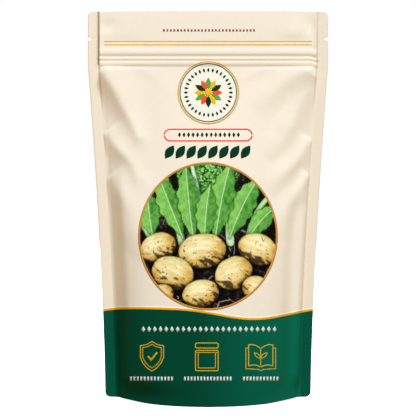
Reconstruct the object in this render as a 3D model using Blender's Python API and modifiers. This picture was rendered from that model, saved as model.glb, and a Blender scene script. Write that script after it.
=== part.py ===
# Resealable stand-up seed pouch, filled and sealed, standing on its opened bottom gusset.
# Two printed film walls are welded along both sides and the top. A folded web closes the bottom.
# A double-track press-to-close zip lies between the walls under the tear line, and seeds fill the belly.
# The front wall faces -Y, +Z is up, and the origin is on the floor under the middle of the pouch.

import math

import bmesh
import bpy

# Outline and film, in metres
FLAT_WIDTH = 0.130  # the empty pouch laid flat
HEIGHT = 0.2098  # at the top corners
TOP_BOW = 0.0005  # the top edge stands this much higher at mid-width
SIDE_SEAL = 0.0055  # width of the welded side bands
TOP_SEAL = 0.0049  # height of the welded band at the top
FILM = 0.0004  # film thickness
WELD_GAP = 0.0003  # kept between two films that are welded together
BASE_HALF_WIDTH = 0.0556  # the filled pouch is narrower at its foot
TAPER_POWER = 1.5  # how the outline draws in from the zip down
TOP_CORNER = 0.0027
FOOT_CORNER = 0.0030
NOTCH_HEIGHT = 0.1951
NOTCH_DEPTH = 0.0021
NOTCH_RADIUS = 0.00085
NOTCH_LIP = 1.01  # rows nearer the notch's middle than this many radii are cut in
BAND_HEIGHT = 0.047  # where the green print meets the cream

# Bottom gusset
GUSSET_FOLD = 0.038  # height of the bottom web's fold where it meets the side welds
GUSSET_CREST = 0.008  # height of the same fold at mid-width, pressed down by the seeds
FOLD_POWER = 3  # how the fold climbs from the middle to the side welds
SKIRT = 0.005  # height of the welded band round the foot
WEB_CLEAR = 0.0002  # the web's rim stays this far above the walls' rim
WEB_SLACK = 0.00005  # added to the weld gap between the web and the walls
FOOT_LIFT = 0.0012  # the side welds hang this far clear of the floor
LIFT_SHARE = 0.45  # the lift has faded out this far towards mid-width
LIFT_FADE = 0.04  # and at this height

# The filled belly and the slack header above the zip
BELLY_DEPTH = 0.0262  # how far the filled wall stands out at the foot, past the zip's own depth
BELLY_POWER = 0.6  # the belly grows quickly under the zip and is upright near the foot
SWELL_POWER = 0.65  # the wall's cross-section rises steeply beside the weld
HEADER_FOOT = 0.1923
HEADER_STAND = 0.3  # share of the zip's own depth that the header keeps
HEADER_PUFF = 0.0009
SEAL_FOOT = HEIGHT - TOP_SEAL
SEAL_RAMP = 0.006  # the header closes to the top weld over this height
FILL_LEVEL = 0.148  # top of the seeds
FILL_HEAP = 0.006  # the heap of seeds falls by this much towards the sides
FILL_REACH = 0.88  # share of the free width that the seeds take up
FILL_CLEAR = 0.0022  # the seeds stay this far above the bottom web
FILL_GAP = 0.0005  # and this far inside the walls
FILL_EDGE = 0.0004  # half the least thickness of the heap

# The zip: two tracks close together, under a plain flange
ZIP_FOOT = 0.1797
ZIP_TOP = 0.1905
ZIP_LENGTH = 0.115
ZIP_STRIP = 0.0004  # thickness of each strip
ZIP_MARGIN = 0.0005  # each strip ends this far inside the zip's band
ZIP_FACE = 0.00065  # a strip's inner face, from the middle plane
ZIP_STAND = 0.0012  # how far the zip pushes each wall out
ZIP_FADE = 0.030  # the belly's own cross-section takes over this far under the zip
ZIP_BLUNT = 0.022  # share of the free width over which the zip's relief ends at a weld
TRACK_HEIGHTS = (0.1818, 0.1844)
RIB_RISE = 0.0005  # how far a track shows through the wall
RIB_FLANK = 0.0013
ROLL_HEIGHT = 0.1877  # the flange above the tracks shows as a softer roll
ROLL_RISE = 0.00025
ROLL_FLANK = 0.0021
TONGUE = 0.0008  # width of the tongue on the back strip
TONGUE_REACH = 0.0009
JAW = 0.0004  # thickness of each lip of the groove on the front strip
JAW_SLOT = 0.0014  # clear width of the groove
JAW_REACH = 0.0010

# Rows and columns of the walls' grid
FOOT_ROWS = (0.0, 0.0005, 0.0015, FOOT_CORNER)
BELLY_ROWS = (0.007, 0.016, 0.031, 0.048, 0.066, 0.084, 0.102, 0.119, 0.135, 0.149, 0.161, 0.170, 0.176)
ZIP_ROWS = (0.1786, 0.1799, 0.1818, 0.1831, 0.1844, 0.1857, ROLL_HEIGHT, 0.1891, ZIP_TOP)
HEADER_ROWS = (HEADER_FOOT, 0.2000, SEAL_FOOT)
NOTCH_ROWS = (-1.02, -1.0, -0.7, 0.0, 0.7, 1.0, 1.02)  # times the notch radius
TOP_ROWS = (1.0, 0.65, 0.35, 0.12, 0.0)  # times the top corner's radius, below the top
WELD_COLUMNS = 3
FREE_COLUMNS = (0.012, 0.025, 0.045, 0.085, 0.14, 0.21, 0.30, 0.41, 0.55, 0.76)  # share from weld to mid-width
WEB_COLUMNS = FREE_COLUMNS[2:]  # the same columns, so that the web's facets lie along the walls'
SKIRT_ROWS = 4
ARCH_ROWS = 9
FILL_CUTS = 9
WELD_PLANE = (WELD_GAP + FILM) / 2  # middle of a wall's film, from the middle plane, along the welds
SLOPE_STEP = 0.0005


def smooth_step(low, high, value):
    share = min(1.0, max(0.0, (value - low) / (high - low)))
    return share * share * (3 - 2 * share)


def half_width(z):
    """Outline of the filled pouch: full width from the zip up, drawn in towards the foot."""
    share = min(1.0, z / ZIP_FOOT)
    return BASE_HALF_WIDTH + (FLAT_WIDTH / 2 - BASE_HALF_WIDTH) * share ** TAPER_POWER


def weld_edge(z):
    """Inner edge of the side weld, from the middle."""
    return half_width(z) - SIDE_SEAL


def swell(share):
    """Cross-section of the filled wall, 0 at the weld and 1 at mid-width: it leaves the weld flat."""
    return math.sin(math.pi / 2 * min(1.0, max(0.0, share)) ** SWELL_POWER) ** 2


def wall_rise(z):
    """How far the wall stands out of the weld plane at mid-width, without the tracks."""
    if z < ZIP_FOOT:
        down = (ZIP_FOOT - z) / ZIP_FOOT
        return ZIP_STAND + BELLY_DEPTH * math.sin(math.pi / 2 * down ** BELLY_POWER) ** 2
    past_zip = smooth_step(ZIP_TOP - (HEADER_FOOT - ZIP_TOP), HEADER_FOOT, z)
    over_zip = ZIP_STAND * (1 - (1 - HEADER_STAND) * past_zip)
    up_header = min(1.0, max(0.0, (z - HEADER_FOOT) / (SEAL_FOOT - HEADER_FOOT)))
    puff = HEADER_PUFF * math.sin(math.pi * up_header)
    return (over_zip + puff) * (1 - smooth_step(SEAL_FOOT - SEAL_RAMP, SEAL_FOOT, z))


def track_rise(z):
    """The two tracks and the flange roll, as they show through the wall."""
    rise = ROLL_RISE * (1 - smooth_step(0, ROLL_FLANK, abs(z - ROLL_HEIGHT)))
    for height in TRACK_HEIGHTS:
        rise += RIB_RISE * (1 - smooth_step(0, RIB_FLANK, abs(z - height)))
    return rise


def wall_depth(x, z):
    """Distance of a wall's middle surface from the middle plane of the pouch."""
    share = 1 - abs(x) / weld_edge(z)
    blunt = smooth_step(0, ZIP_BLUNT, share)
    under_zip = smooth_step(0, ZIP_FADE, ZIP_FOOT - z)
    section = blunt * (1 - under_zip) + swell(share) * under_zip
    return WELD_PLANE + wall_rise(z) * section + track_rise(z) * blunt


def wall_slope(x, z):
    """How steeply the wall runs outwards, sideways along one height."""
    return (wall_depth(x + SLOPE_STEP, z) - wall_depth(x - SLOPE_STEP, z)) / (2 * SLOPE_STEP)


def corner_inset(radius, reach):
    """Cut of a round corner at a row that lies reach inside it."""
    return radius - math.sqrt(max(0.0, radius ** 2 - reach ** 2))


def edge_inset(z):
    """How far the outline is cut in from its straight side, at the round corners and the tear notch."""
    from_top = HEIGHT - z
    if from_top < TOP_CORNER:
        return corner_inset(TOP_CORNER, TOP_CORNER - from_top)
    if z < FOOT_CORNER:
        return corner_inset(FOOT_CORNER, FOOT_CORNER - z)
    off_notch = abs(z - NOTCH_HEIGHT)
    if off_notch < NOTCH_LIP * NOTCH_RADIUS:
        return NOTCH_DEPTH - corner_inset(NOTCH_RADIUS, off_notch)
    return 0.0


def foot_lift(x, z):
    """Raises the foot of the side welds off the floor, fading out above the skirt."""
    share = 1 - abs(x) / weld_edge(z)
    return FOOT_LIFT * (1 - smooth_step(0, LIFT_SHARE, share)) * (1 - smooth_step(0, LIFT_FADE, z))


def top_bow(x, z):
    near_top = smooth_step(ZIP_TOP, HEIGHT, z)
    return TOP_BOW * near_top * (1 - (2 * x / FLAT_WIDTH) ** 2)


def plain_material(name, colour, roughness):
    material = bpy.data.materials.new(name)
    material.use_nodes = True
    shader = material.node_tree.nodes["Principled BSDF"]
    shader.inputs["Base Color"].default_value = (*colour, 1.0)
    shader.inputs["Roughness"].default_value = roughness
    shader.inputs["Metallic"].default_value = 0.0
    return material


def add_mesh(name, bm, collection, *materials):
    bmesh.ops.recalc_face_normals(bm, faces=bm.faces)
    mesh = bpy.data.meshes.new(name)
    bm.to_mesh(mesh)
    bm.free()
    for material in materials:
        mesh.materials.append(material)
    thing = bpy.data.objects.new(name, mesh)
    collection.objects.link(thing)
    return thing


def grid_points(columns, rows):
    """A flat grid, and the column and row that each of its vertices belongs to."""
    bm = bmesh.new()
    bmesh.ops.create_grid(bm, x_segments=columns - 1, y_segments=rows - 1, size=1)
    places = [
        (vert, round((vert.co.x + 1) / 2 * (columns - 1)), round((vert.co.y + 1) / 2 * (rows - 1)))
        for vert in bm.verts
    ]
    return bm, places


def thicken(thing, thickness):
    solid = thing.modifiers.new("film thickness", "SOLIDIFY")
    solid.thickness = thickness
    solid.offset = 0
    solid.use_even_offset = True
    thing.data.shade_smooth()


def wall_row_heights():
    rows = list(FOOT_ROWS + BELLY_ROWS + ZIP_ROWS + HEADER_ROWS)
    rows += [NOTCH_HEIGHT + share * NOTCH_RADIUS for share in NOTCH_ROWS]
    rows += [HEIGHT - share * TOP_CORNER for share in TOP_ROWS]
    return sorted(rows)


def wall_column(index, z):
    """x of a column at one height: three along each weld, the rest across the free wall."""
    free = len(FREE_COLUMNS)
    half = free + WELD_COLUMNS
    side = -1 if index < half else 1
    place = abs(index - half)  # 0 at mid-width, half at the outer edge
    inner = weld_edge(z)
    outer = half_width(z) - edge_inset(z)
    if place <= free:
        share = 1.0 if place == 0 else FREE_COLUMNS[free - place]
        return side * inner * (1 - share)
    along = (place - free - 1) / (WELD_COLUMNS - 1)
    return side * (inner + (outer - inner) * along)


def make_wall(name, facing, collection, cream, green):
    """One film wall. facing is -1 for the front and 1 for the back."""
    rows = wall_row_heights()
    columns = 2 * (len(FREE_COLUMNS) + WELD_COLUMNS) + 1
    bm, places = grid_points(columns, len(rows))
    for vert, column, row in places:
        z = rows[row]
        x = wall_column(column, z)
        vert.co = (x, facing * wall_depth(x, z), z + foot_lift(x, z) + top_bow(x, z))
    for face in bm.faces:
        if face.calc_center_median().z < BAND_HEIGHT:
            face.material_index = 1
    wall = add_mesh(name, bm, collection, cream, green)
    thicken(wall, FILM)
    return wall


def web_reach():
    """The bottom web's end, from the middle: it stops where the walls come too close for it."""
    return weld_edge(0.0) * (1 - WEB_COLUMNS[0])


def web_half_depth(x):
    """Half the width of the bottom web at x, one film and one weld gap inside the walls."""
    return wall_depth(x, 0.0) - (FILM + WELD_GAP + WEB_SLACK) * math.hypot(1, wall_slope(x, 0.0))


def web_crest(x):
    share = min(1.0, abs(x) / web_reach())
    return GUSSET_CREST + (GUSSET_FOLD - GUSSET_CREST) * share ** FOLD_POWER


def make_gusset(name, collection, green):
    """The bottom web: a skirt up both walls, joined by an arch that is low in the middle and high at the ends."""
    middle = len(WEB_COLUMNS)
    columns = 2 * middle + 1
    rows = 2 * SKIRT_ROWS + ARCH_ROWS
    bm, places = grid_points(columns, rows)
    for vert, column, row in places:
        share = 1.0 if column == middle else WEB_COLUMNS[min(column, columns - 1 - column)]
        x = math.copysign(weld_edge(0.0) * (1 - share), column - middle)
        half = web_half_depth(x)
        crest = web_crest(x)
        cap = min(half, crest - SKIRT)
        shoulder = crest - cap
        foot = WEB_CLEAR + foot_lift(x, 0.0)
        side = -1 if row < rows / 2 else 1
        from_rim = min(row, rows - 1 - row)
        if from_rim < SKIRT_ROWS:
            z = foot + (shoulder - foot) * from_rim / SKIRT_ROWS
            vert.co = (x, side * half, z)
        else:
            turn = math.pi * (row - SKIRT_ROWS) / (ARCH_ROWS - 1)
            vert.co = (x, -half * math.cos(turn), shoulder + cap * math.sin(turn))
    gusset = add_mesh(name, bm, collection, green)
    thicken(gusset, FILM)
    return gusset


def strip_outline(facing, with_groove):
    """Outline of one zip strip in depth and height, with its tongues or its grooves facing the other strip."""
    face = facing * ZIP_FACE
    back = facing * (ZIP_FACE + ZIP_STRIP)
    foot = ZIP_FOOT + ZIP_MARGIN
    top = ZIP_TOP - ZIP_MARGIN
    points = [(back, foot), (face, foot)]
    for track in TRACK_HEIGHTS:
        if with_groove:
            slot = JAW_SLOT / 2
            lips = [(track - slot - JAW, track - slot), (track + slot, track + slot + JAW)]
            tip = facing * (ZIP_FACE - JAW_REACH)
        else:
            lips = [(track - TONGUE / 2, track + TONGUE / 2)]
            tip = facing * (ZIP_FACE - TONGUE_REACH)
        for low, high in lips:
            points += [(face, low), (tip, low), (tip, high), (face, high)]
    return points + [(face, top), (back, top)]


def make_zip_strip(name, facing, with_groove, collection, plastic):
    """One strip of the zip: a flat outline across the mouth, extruded along it."""
    outline = bpy.data.curves.new(name, "CURVE")
    outline.dimensions = "2D"
    outline.fill_mode = "BOTH"
    outline.extrude = ZIP_LENGTH / 2
    points = strip_outline(facing, with_groove)
    spline = outline.splines.new("POLY")
    spline.points.add(len(points) - 1)
    for point, (depth, height) in zip(spline.points, points):
        point.co = (depth, height, 0, 1)
    spline.use_cyclic_u = True
    outline.materials.append(plastic)
    strip = bpy.data.objects.new(name, outline)
    strip.rotation_euler = (math.pi / 2, 0, math.pi / 2)  # depth runs along Y, height along Z
    collection.objects.link(strip)
    return strip


def make_seed_fill(name, collection, seed_brown):
    """The seeds as one body: a block shaped to the inside of the walls, heaped a little at the top."""
    bm = bmesh.new()
    bmesh.ops.create_cube(bm, size=2)
    bmesh.ops.subdivide_edges(bm, edges=bm.edges, cuts=FILL_CUTS, use_grid_fill=True)
    for vert in bm.verts:
        across, through, up = vert.co
        low = web_crest(FILL_REACH * across * weld_edge(0.0)) + FILL_CLEAR
        high = FILL_LEVEL - FILL_HEAP * across ** 2
        z = low + (high - low) * (up + 1) / 2
        x = FILL_REACH * across * weld_edge(z)
        room = wall_depth(x, z) - FILM / 2 - FILL_GAP * math.hypot(1, wall_slope(x, z))
        vert.co = (x, through * max(room, FILL_EDGE), z)
    fill = add_mesh(name, bm, collection, seed_brown)
    fill.data.shade_smooth()
    return fill


def main():
    for thing in list(bpy.data.objects):
        bpy.data.objects.remove(thing, do_unlink=True)
    collection = bpy.data.collections.new("seed pouch")
    bpy.context.scene.collection.children.link(collection)

    cream = plain_material("cream film", (0.86, 0.78, 0.65), 0.5)
    green = plain_material("green film", (0.004, 0.065, 0.035), 0.5)
    plastic = plain_material("zip plastic", (0.85, 0.84, 0.80), 0.35)
    seed_brown = plain_material("seeds", (0.09, 0.045, 0.025), 0.7)

    make_wall("film_front", -1, collection, cream, green)
    make_wall("film_back", 1, collection, cream, green)
    make_gusset("film_gusset", collection, green)
    make_zip_strip("zip_groove_strip", -1, True, collection, plastic)
    make_zip_strip("zip_tongue_strip", 1, False, collection, plastic)
    make_seed_fill("seed_fill", collection, seed_brown)


main()
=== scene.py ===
# Stand-up seed pouch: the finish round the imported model.
# The two film walls, the bottom web and the seeds are new surfaces worked out with numpy, and the print lies
# on the walls as thin layers of ink. Sizes are in millimetres and turn to metres when a mesh is filled.

import bpy
import numpy as np
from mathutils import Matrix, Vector


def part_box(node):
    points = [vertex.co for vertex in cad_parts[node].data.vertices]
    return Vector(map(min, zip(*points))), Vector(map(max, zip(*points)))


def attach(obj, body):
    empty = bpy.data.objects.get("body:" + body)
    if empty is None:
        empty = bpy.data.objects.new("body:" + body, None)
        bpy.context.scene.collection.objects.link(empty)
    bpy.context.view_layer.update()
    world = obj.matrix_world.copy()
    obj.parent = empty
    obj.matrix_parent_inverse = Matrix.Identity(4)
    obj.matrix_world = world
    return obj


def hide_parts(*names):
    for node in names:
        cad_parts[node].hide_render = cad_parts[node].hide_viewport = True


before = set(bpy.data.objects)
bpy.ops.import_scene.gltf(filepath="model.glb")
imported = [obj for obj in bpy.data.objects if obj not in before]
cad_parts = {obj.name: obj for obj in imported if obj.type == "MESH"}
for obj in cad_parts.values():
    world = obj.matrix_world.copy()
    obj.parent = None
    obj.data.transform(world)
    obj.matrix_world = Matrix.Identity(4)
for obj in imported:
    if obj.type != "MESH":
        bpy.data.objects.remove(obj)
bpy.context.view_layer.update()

mm = 0.001
frontLow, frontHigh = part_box("film_front")

pouch = dict(
    halfTop=frontHigh.x / mm,
    halfFoot=55.6,  # the filled pouch is narrower at its foot
    taper=1.5,
    topBow=0.5,  # rise of the top edge at mid-width
    sideSeal=5.5,
    film=0.3,
    weldFace=0.33,  # outer face of a wall along the welds, from the middle plane
    zipFoot=179.7,
    zipTop=190.5,
    zipStand=1.8,  # how far the wall stands off the welds at the zip
    zipFade=30.0,  # height over which the zip's blunt section turns to the belly's
    zipEndShare=0.022,
    bellyPower=0.6,
    sectionPower=0.57,
    bellyEndShare=0.07,  # the belly and the folds rise from the welds over these shares of the half width
    foldEndShare=0.02,
    foldTop=(178.0, 180.0),  # the folds end between these heights, under the zip
    flatTop=3.0,  # the dents end over this height, at the top edge
    footLift=1.2,  # the ends of the foot stand clear of the floor
    footLiftShare=0.45,
    footLiftHeight=40.0,
    topCorner=2.7,
    footCorner=3.0,
    notchHeight=195.1,
    notchDepth=2.1,
    notchRadius=0.85,
)
pouch["top"] = frontHigh.z / mm - pouch["topBow"]  # height of the top corners
pouch["bellyDepth"] = -frontLow.y / mm - pouch["weldFace"] - pouch["zipStand"]

# The photograph's own eye: level, and far enough off for the foot to drop as it does there
eye = dict(height=103.48, distance=680.0, frameWidth=225.35)


# Shared helpers

def easeStep(low, high, value):
    # 0 below low, 1 above high, and a smooth S between them
    share = np.clip((value - low) / (high - low), 0, 1)
    return share * share * (3 - 2 * share)


def linear(hexColour, alpha=1.0):
    # sRGB hex colour to the linear values that Blender's sockets take
    channels = np.array([int(hexColour[place:place + 2], 16) for place in (1, 3, 5)]) / 255
    flat = np.where(channels <= 0.04045, channels / 12.92, ((channels + 0.055) / 1.055) ** 2.4)
    return (*(float(channel) for channel in flat), alpha)


def addNode(tree, kind, inputs=None, **settings):
    # one shader node with its settings; an input is a value, or another node's output to link
    node = tree.nodes.new("ShaderNode" + kind)
    for name, value in settings.items():
        setattr(node, name, value)
    for key, value in (inputs or {}).items():
        if isinstance(value, bpy.types.NodeSocket):
            tree.links.new(value, node.inputs[key])
        else:
            node.inputs[key].default_value = value
    return node


def gridFaces(rows, columns):
    # corners of every cell of a grid, right then up, as whole arrays
    corner = (np.arange(rows - 1)[:, None] * columns + np.arange(columns - 1)).ravel()
    return np.stack([corner, corner + 1, corner + columns + 1, corner + columns], axis=1)


def fillMesh(name, points, faces, material):
    # points in millimetres, faces as an array of corner numbers, three or four to a face
    mesh = bpy.data.meshes.new(name)
    mesh.from_pydata((np.asarray(points) * mm).tolist(), [], np.asarray(faces).tolist())
    mesh.shade_smooth()
    mesh.materials.append(material)
    piece = bpy.data.objects.new(name, mesh)
    bpy.context.scene.collection.objects.link(piece)
    return piece


def giveThickness(piece, thickness):
    # inwards from the outer face
    solid = piece.modifiers.new("thickness", "SOLIDIFY")
    solid.thickness = thickness * mm
    solid.offset = -1.0
    solid.use_even_offset = True


def finishPiece(piece, slotName, *replaced):
    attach(piece, "root")
    if replaced:
        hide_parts(*replaced)


# Shape of the walls

def halfWidth(z):
    share = np.clip(z / pouch["zipFoot"], 0, 1)
    return pouch["halfFoot"] + (pouch["halfTop"] - pouch["halfFoot"]) * share ** pouch["taper"]


def weldEdge(z):
    return halfWidth(z) - pouch["sideSeal"]


zipLock = dict(
    # the film steps over the flange and the two tracks: from height, to height, and how much further forward
    steps=[(179.65, 181.3, 0.55), (182.1, 182.9, -0.42), (182.9, 184.0, 0.38), (184.2, 185.2, -0.50),
           (185.3, 186.9, 0.62), (187.4, 190.7, -0.75)],
    top=190.8,
    headerPower=1.3,
    droop=0.9,  # the crushed ends sink on the right
    droopFrom=(54.5, 59.0),
    droopBelow=2.0,
    lumpRise=0.4,
    lumpSize=0.9,
    lumps=[(-59.2, 184.8), (-59.0, 181.7), (59.2, 183.6), (59.0, 180.6)],
)


def wallRise(z):
    # stand of the wall at mid-width: below the zip, sin^2 of a power of the way down; above, the steps over
    # the zip's tracks, and a header that closes towards the top edge
    down = np.clip((pouch["zipFoot"] - z) / pouch["zipFoot"], 0, 1)
    belly = pouch["zipStand"] + pouch["bellyDepth"] * np.sin(np.pi / 2 * down ** pouch["bellyPower"]) ** 2
    forward = pouch["zipStand"] + sum(rise * easeStep(low, high, z) for low, high, rise in zipLock["steps"])
    up = np.clip((z - zipLock["top"]) / (pouch["top"] - zipLock["top"]), 0, 1)
    return np.where(z < pouch["zipFoot"], belly, forward * (1 - up ** zipLock["headerPower"]))


def zipLumps(x, z):
    size = zipLock["lumpSize"]
    return sum(zipLock["lumpRise"] * np.exp(-((x - atX) ** 2 + (z - atZ) ** 2) / size ** 2)
               for atX, atZ in zipLock["lumps"])


# Folds run inwards from the side welds. Each is a ridge along a crest. Values spaced along the crest give its
# rise, the reach of its shaded side and of its lit side, its rounding, and how hollow its sides are
frontFolds = [
    dict(crest=[(-57.8, 179.2), (-53.0, 172.0), (-49.4, 166.0), (-45.2, 157.0), (-40.6, 149.0),
                (-37.8, 142.4)],
         rise=(5.2, 4.0, 2.2), shaded=(12.0, 10.0), lit=(18.0, 16.0, 12.0), rounding=(2.6, 1.8, 0.8),
         hollow=(1.9, 2.8)),
    dict(crest=[(-55.4, 145.2), (-50.6, 138.4), (-46.4, 133.6), (-42.4, 129.4), (-39.6, 125.6),
                (-38.0, 121.0)],
         rise=(1.6, 3.3, 2.0), shaded=(8.0, 9.0), lit=(14.0, 24.0), rounding=(2.0, 0.9), hollow=(2.0, 2.2)),
    dict(crest=[(-53.4, 121.4), (-48.4, 114.4), (-44.8, 109.0), (-41.4, 102.0), (-39.2, 94.0)],
         rise=(1.4, 2.6, 1.6), shaded=(8.0, 9.0), lit=(14.0, 30.0), rounding=(2.0, 3.0), hollow=(2.0, 1.2)),
    dict(crest=[(-40.0, 181.0), (-34.0, 178.2), (-27.1, 172.8), (-17.9, 164.1)],
         rise=(0.5, 0.05), shaded=(4.0, 4.0), lit=(8.0, 8.0), rounding=(1.5, 2.5), hollow=(2.0, 2.0)),
    dict(crest=[(38.0, 181.0), (34.7, 179.9), (27.1, 177.1), (18.4, 173.9), (9.2, 170.6)],
         rise=(0.5, 0.05), shaded=(4.0, 4.0), lit=(6.0, 6.0), rounding=(1.5, 2.5), hollow=(2.0, 2.0)),
    dict(crest=[(57.5, 179.6), (48.2, 175.2), (40.6, 170.6), (36.0, 166.3), (30.3, 161.6), (24.0, 156.0)],
         rise=(2.8, 2.2, 1.4, 0.1), shaded=(7.0, 8.0), lit=(9.0, 9.0), rounding=(2.0, 4.0),
         hollow=(1.6, 1.6)),
    dict(crest=[(59.0, 177.0), (55.2, 170.6), (50.4, 162.0), (47.4, 154.6), (43.8, 147.0), (42.0, 141.0),
                (37.4, 136.0), (32.0, 129.0)],
         rise=(1.0, 1.6, 2.2, 2.8, 1.6, 0.1), shaded=(6.0, 8.0), lit=(8.0, 9.0), rounding=(2.0, 3.2),
         hollow=(1.6, 1.6)),
    dict(crest=[(55.2, 141.6), (52.0, 136.0), (49.6, 131.6), (46.6, 127.2), (41.2, 122.4), (37.9, 118.5),
                (32.0, 111.5)],
         rise=(2.0, 3.0, 2.2, 0.1), shaded=(6.0, 7.0), lit=(7.0, 8.0), rounding=(1.6, 3.0),
         hollow=(1.6, 1.6)),
    dict(crest=[(54.6, 122.6), (49.3, 114.2), (46.9, 109.8), (43.9, 105.0), (41.6, 97.0), (41.0, 86.0)],
         rise=(2.0, 2.8, 1.8, 0.1), shaded=(5.0, 7.0), lit=(6.0, 8.0), rounding=(1.4, 3.0),
         hollow=(1.6, 1.6)),
]
# Soft dents and swellings: place, rise and reach
frontDents = [
    dict(at=(-54.2, 202.2), rise=-0.8, reach=(4.6, 3.6)),
    dict(at=(-45.0, 193.4), rise=-0.35, reach=(9.0, 3.0)),
    dict(at=(55.4, 201.6), rise=-0.8, reach=(2.2, 5.0)),
    dict(at=(47.5, 199.0), rise=0.45, reach=(7.0, 4.5)),
    dict(at=(45.0, 193.8), rise=-0.35, reach=(8.0, 3.0)),
]

# The back creases the same way, seen in a mirror: how near to the sides, and how much lower each one is
backWall = dict(
    foldNear=0.98,
    foldLower=(1.0, 5.0, 9.0, 0.0, 0.0, 1.0, 8.0, 3.0, 10.0),
    dentNear=0.95,
    dentLower=1.5,
)
backFolds = [dict(fold, crest=[(-backWall["foldNear"] * x, z - lower) for x, z in fold["crest"]])
             for fold, lower in zip(frontFolds, backWall["foldLower"])]
backDents = [dict(dent, at=(-backWall["dentNear"] * dent["at"][0], dent["at"][1] - backWall["dentLower"]))
             for dent in frontDents]
wallForms = {-1: (frontFolds, frontDents), 1: (backFolds, backDents)}

# Upright waves beside the welds: distance in from the weld, rise, and reach outwards and inwards. They rise
# between the two foot heights and end between the two top heights, lower down towards mid-width
flankWaves = dict(
    left=[(10.0, 6.4, 5.5, 19.0)],
    right=[(2.0, 3.4, 1.6, 3.8), (13.5, 2.0, 4.0, 13.0)],
    foot=(3.0, 14.0),
    top=(92.0, 150.0),
    slant=0.8,
)


def smoothPath(points, count=61, rounds=12):
    # evenly spaced points along a crest, with its corners rounded off
    points = np.array(points, float)
    run = np.concatenate([[0], np.cumsum(np.linalg.norm(np.diff(points, axis=0), axis=1))])
    place = np.linspace(0, run[-1], count)
    path = np.stack([np.interp(place, run, points[:, side]) for side in (0, 1)], axis=1)
    for _ in range(rounds):
        path[1:-1] = (path[:-2] + 2 * path[1:-1] + path[2:]) / 4
    return path


# How far round a crest its relief is worked out, half the width of the turn from its shaded side to its lit
# one, and the share of its run over which it rises at the weld
foldBlend = dict(margin=1.5, turn=0.5, start=0.06)


def foldRelief(x, z, fold):
    # offset from the nearest point of the crest; each side falls from the rounded crest as a power of the
    # share of its reach that is left
    crest = smoothPath(fold["crest"])
    ahead = np.gradient(crest, axis=0)
    spacing = np.linalg.norm(ahead, axis=1)
    ahead /= spacing[:, None]
    reach = foldBlend["margin"] * max(fold["shaded"] + fold["lit"])
    near = ((x > crest[:, 0].min() - reach) & (x < crest[:, 0].max() + reach)
            & (z > crest[:, 1].min() - reach) & (z < crest[:, 1].max() + reach))
    gap = np.stack([x[near], z[near]], axis=1)[:, None, :] - crest
    nearest = np.argmin((gap ** 2).sum(axis=2), axis=1)
    off, ahead, spacing = gap[np.arange(len(gap)), nearest], ahead[nearest], spacing[nearest]
    along = (off * ahead).sum(axis=1)
    side = ahead[:, 0] * off[:, 1] - ahead[:, 1] * off[:, 0]
    past = np.maximum(0, np.abs(along) - spacing)
    share = np.clip((nearest + along / spacing) / (len(crest) - 1), 0, 1)
    rise, shaded, lit, rounding, hollow = (np.interp(share, np.linspace(0, 1, len(fold[key])), fold[key])
                                           for key in ("rise", "shaded", "lit", "rounding", "hollow"))
    # 1 on the shaded side, which looks down and inwards, and 0 on the lit one; round the end of the crest one
    # turns gently into the other
    turn = easeStep(-foldBlend["turn"] - past, foldBlend["turn"] + past, side * np.sign(crest[0, 0]))
    width = lit + (shaded - lit) * turn
    away = np.sqrt(side ** 2 + past ** 2 + rounding ** 2) - rounding
    relief = np.zeros_like(x)
    relief[near] = (rise * easeStep(0, foldBlend["start"], share)
                    * np.maximum(0, 1 - away / width) ** hollow)
    return relief


def dentRelief(x, z, dent):
    (atX, atZ), (reachX, reachZ) = dent["at"], dent["reach"]
    return dent["rise"] * np.exp(-((x - atX) / reachX) ** 2 - ((z - atZ) / reachZ) ** 2)


crease = dict(
    # painted shade along the crease: height where it starts, its place in from the weld, its reach, and its
    # share on the right side
    foot=181.0, inside=0.2, reach=0.55, right=0.3,
    # the lip that stands beside it: place, reach, rise, and the height over which it rises
    lipAt=1.1, lipReach=0.7, lip=0.5, lipRun=6.0,
)


def creaseShadeShare(x, z):
    # painted shade of a hard crease along the inner edge of the weld, from the zip up to the top edge
    inside = weldEdge(z) - np.abs(x)
    upright = easeStep(crease["foot"] - 1, crease["foot"] + 1, z)
    across = np.exp(-((inside - crease["inside"]) / crease["reach"]) ** 2)
    return upright * across * np.where(x < 0, 1, crease["right"])


def flankRelief(x, z):
    inside = weldEdge(z) - np.abs(x)
    left, right = (sum(rise * np.exp(-((inside - at) / np.where(inside < at, outwards, inwards)) ** 2)
                       for at, rise, outwards, inwards in flankWaves[side]) for side in ("left", "right"))
    gone = easeStep(*flankWaves["top"], z + flankWaves["slant"] * inside)
    return np.where(x < 0, left, right) * (easeStep(*flankWaves["foot"], z) * (1 - gone))


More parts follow.
